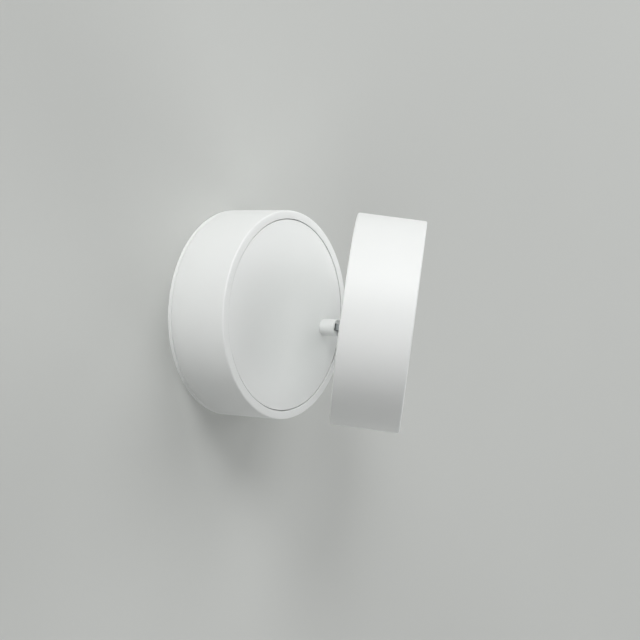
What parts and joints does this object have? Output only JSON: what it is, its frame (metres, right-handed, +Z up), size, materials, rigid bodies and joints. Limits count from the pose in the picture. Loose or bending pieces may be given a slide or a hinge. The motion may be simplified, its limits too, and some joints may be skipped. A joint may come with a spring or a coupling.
{
  "type": "pivoting spotlight wall light",
  "caption": "Wall spotlight of two equal round discs: a base on the wall and a head that tilts and swivels on a short off-centre stem.",
  "frame": {"origin": "middle of the wall plate's back face, between its two screw slots", "axes": "+Y into the wall, -Y towards the room, +Z up along the tilt axis, +X from the middle of the base towards the stem"},
  "size_m": [0.1344, 0.1409, 0.12],
  "materials": {
    "white_powder_coat": "matte",
    "white_stem_coat": "matte",
    "bare_aluminium": "satin",
    "zinc_plated_steel": "zinc plated",
    "black_rubber": "matt",
    "nylon": "moulded",
    "white_nylon": "moulded",
    "driver_plastic": "moulded",
    "circuit_board": "solder resist",
    "led_board_metal": "satin",
    "led_phosphor": "moulded silicone",
    "reflector_metal": "bright anodised",
    "clear_glass": "clear",
    "silicone_lead": "smooth silicone"
  },
  "bodies": {
    "base": {"wall_plate": "white_powder_coat", "cable_grommet": "black_rubber", "terminal_block": "white_nylon", "terminal_screws": "zinc_plated_steel", "earth_screw": "zinc_plated_steel", "base_shell": "white_powder_coat", "shell_grub_screws": "zinc_plated_steel", "base_cover": "white_powder_coat", "cover_screws": "zinc_plated_steel", "stop_pin": "zinc_plated_steel", "swivel_bush": "nylon", "driver_case": "driver_plastic", "driver_lid": "driver_plastic", "driver_screws": "zinc_plated_steel", "driver_board": "circuit_board", "supply_leads": "silicone_lead", "driver_lead": "silicone_lead"},
    "stem": {"arm_stem": "white_stem_coat", "hinge_tongue": "zinc_plated_steel", "stop_washer": "zinc_plated_steel", "wave_washer": "zinc_plated_steel", "flat_washer": "zinc_plated_steel", "swivel_nut": "zinc_plated_steel", "stem_lead": "silicone_lead"},
    "head": {"head_shell": "white_powder_coat", "hinge_bracket": "zinc_plated_steel", "bracket_screws": "zinc_plated_steel", "hinge_pin": "zinc_plated_steel", "pin_clip": "zinc_plated_steel", "hinge_washers": "nylon", "heat_sink": "bare_aluminium", "sink_posts": "bare_aluminium", "sink_screws": "zinc_plated_steel", "led_board": "led_board_metal", "led_chip": "led_phosphor", "led_holder": "white_nylon", "reflector": "reflector_metal", "front_glass": "clear_glass", "glass_retainer": "bare_aluminium", "retainer_screws": "zinc_plated_steel", "front_plate": "white_powder_coat", "front_clips": "bare_aluminium", "head_lead": "silicone_lead"}
  },
  "joints": [
    {"name": "stem_swivel", "type": "hinge", "parent": "base", "child": "stem", "pos_m": [0.038, -0.0388, 0], "axis": [0, -1, 0], "range_deg": [-165, 165]},
    {"name": "head_tilt", "type": "hinge", "parent": "stem", "child": "head", "pos_m": [0.038, -0.0604, 0], "axis": [0, 0, 1], "range_deg": [-32, 8]}
  ]
}
